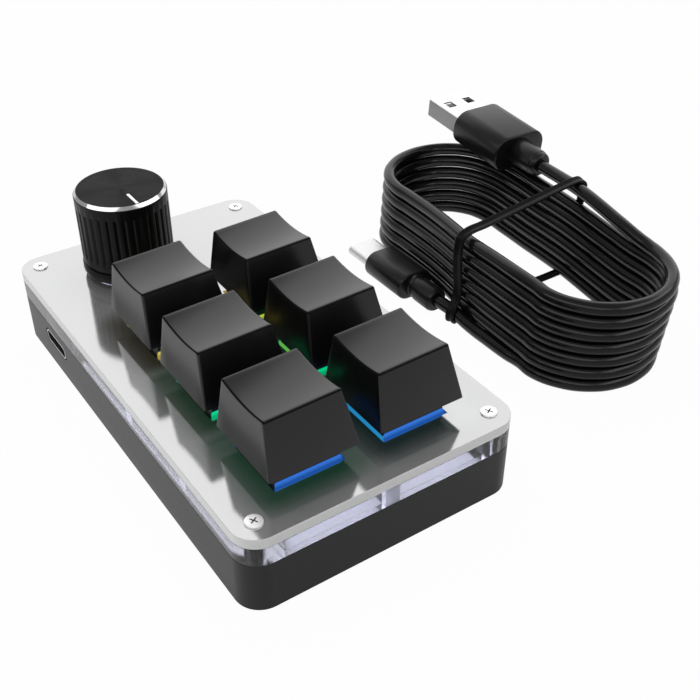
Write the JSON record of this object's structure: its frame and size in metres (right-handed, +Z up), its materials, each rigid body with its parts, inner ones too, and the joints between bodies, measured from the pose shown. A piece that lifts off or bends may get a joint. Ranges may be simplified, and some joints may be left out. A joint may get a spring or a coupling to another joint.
{
  "type": "macro keypad",
  "caption": "Compact desk keypad: sculpted black keys over backlit switches, a fluted push-to-click knob, silver top plate on a clear frame, black tray, and a coiled USB lead.",
  "frame": {"origin": "Centre of the keypad's footprint, on the surface that its feet stand on.", "axes": "+X along the case towards the knob, +Y towards the side with the USB socket, +Z up."},
  "size_m": [0.1022, 0.1274, 0.0363],
  "materials": {
    "tray_black": "moulded black plastic, fine satin grain",
    "foot_rubber": "matt black rubber",
    "frame_clear": "clear polished acrylic",
    "switch_plate_white": "white board, satin",
    "plate_silver": "silver anodised, fine bead-blast, semi-gloss",
    "screw_steel": "bright nickel-plated steel",
    "board_white": "white solder mask",
    "socket_steel": "bright drawn steel",
    "socket_black": "black moulded plastic",
    "chip_black": "black moulded epoxy",
    "led_white": "white light package",
    "pin_brass": "bright brass",
    "cap_black": "black satin moulded plastic",
    "stem_red": "low-friction moulded plastic",
    "spring_steel": "bright spring wire",
    "cover_clear": "clear moulded plastic, lit from below",
    "base_black": "black moulded nylon",
    "encoder_black": "black moulded plastic",
    "encoder_steel": "pressed plated steel",
    "rotor_plastic": "natural acetal",
    "shaft_steel": "turned steel",
    "dome_steel": "spring steel",
    "knob_insert": "black moulded plastic",
    "knob_black": "black anodised, spun top, bright turned chamfer",
    "cable_black": "glossy black flexible PVC",
    "tie_black": "black twist tie, flat with a cored middle",
    "plug_steel": "nickel-plated steel",
    "insert_white": "white moulded plastic",
    "overmould_black": "black moulded PVC, satin gloss"
  },
  "bodies": {
    "root": {"base_tray": "tray_black", "rubber_feet": "foot_rubber", "light_frame": "frame_clear", "switch_plate": "switch_plate_white", "top_plate": "plate_silver", "case_screws": "screw_steel", "pcb": "board_white", "usb_socket_shell": "socket_steel", "usb_socket_tongue": "socket_black", "controller_chip": "chip_black", "key_leds": "led_white", "switch_pins": "pin_brass", "switch_cover_1": "cover_clear", "switch_cover_2": "cover_clear", "switch_cover_3": "cover_clear", "switch_cover_4": "cover_clear", "switch_cover_5": "cover_clear", "switch_cover_6": "cover_clear", "switch_base_1": "base_black", "switch_base_2": "base_black", "switch_base_3": "base_black", "switch_base_4": "base_black", "switch_base_5": "base_black", "switch_base_6": "base_black", "encoder_base": "encoder_black", "encoder_bracket": "encoder_steel", "encoder_dome": "dome_steel", "cable_hank": "cable_black", "cable_floor_lead": "cable_black", "cable_top_lead": "cable_black", "cable_tie": "tie_black", "usb_a_shell": "plug_steel", "usb_a_insert": "insert_white", "usb_a_overmould": "overmould_black", "usb_c_shell": "plug_steel", "usb_c_overmould": "overmould_black"},
    "key_1": {"keycap_1": "cap_black", "switch_stem_1": "stem_red", "switch_spring_1": "spring_steel"},
    "key_2": {"keycap_2": "cap_black", "switch_stem_2": "stem_red", "switch_spring_2": "spring_steel"},
    "key_3": {"keycap_3": "cap_black", "switch_stem_3": "stem_red", "switch_spring_3": "spring_steel"},
    "key_4": {"keycap_4": "cap_black", "switch_stem_4": "stem_red", "switch_spring_4": "spring_steel"},
    "key_5": {"keycap_5": "cap_black", "switch_stem_5": "stem_red", "switch_spring_5": "spring_steel"},
    "key_6": {"keycap_6": "cap_black", "switch_stem_6": "stem_red", "switch_spring_6": "spring_steel"},
    "encoder_wheel": {"encoder_rotor": "rotor_plastic"},
    "knob": {"encoder_shaft": "shaft_steel", "knob_core": "knob_insert", "knob_shell": "knob_black"}
  },
  "joints": [
    {"name": "key_1_press", "type": "slide", "parent": "root", "child": "key_1", "axis": [0, 0, -1], "range_m": [0, 0.0036], "stiffness_N_per_m": 100, "springref_m": -0.003, "deforming": ["switch_spring_1"]},
    {"name": "key_2_press", "type": "slide", "parent": "root", "child": "key_2", "axis": [0, 0, -1], "range_m": [0, 0.0036], "stiffness_N_per_m": 100, "springref_m": -0.003, "deforming": ["switch_spring_2"]},
    {"name": "key_3_press", "type": "slide", "parent": "root", "child": "key_3", "axis": [0, 0, -1], "range_m": [0, 0.0036], "stiffness_N_per_m": 100, "springref_m": -0.003, "deforming": ["switch_spring_3"]},
    {"name": "key_4_press", "type": "slide", "parent": "root", "child": "key_4", "axis": [0, 0, -1], "range_m": [0, 0.0036], "stiffness_N_per_m": 100, "springref_m": -0.003, "deforming": ["switch_spring_4"]},
    {"name": "key_5_press", "type": "slide", "parent": "root", "child": "key_5", "axis": [0, 0, -1], "range_m": [0, 0.0036], "stiffness_N_per_m": 100, "springref_m": -0.003, "deforming": ["switch_spring_5"]},
    {"name": "key_6_press", "type": "slide", "parent": "root", "child": "key_6", "axis": [0, 0, -1], "range_m": [0, 0.0036], "stiffness_N_per_m": 100, "springref_m": -0.003, "deforming": ["switch_spring_6"]},
    {"name": "knob_turn", "type": "hinge", "parent": "root", "child": "encoder_wheel", "pos_m": [0.0358, 0.0078, 0], "axis": [0, 0, 1], "continuous": true},
    {"name": "knob_press", "type": "slide", "parent": "encoder_wheel", "child": "knob", "axis": [0, 0, -1], "range_m": [0, 0.0005], "stiffness_N_per_m": 1500, "springref_m": -0.0015}
  ]
}
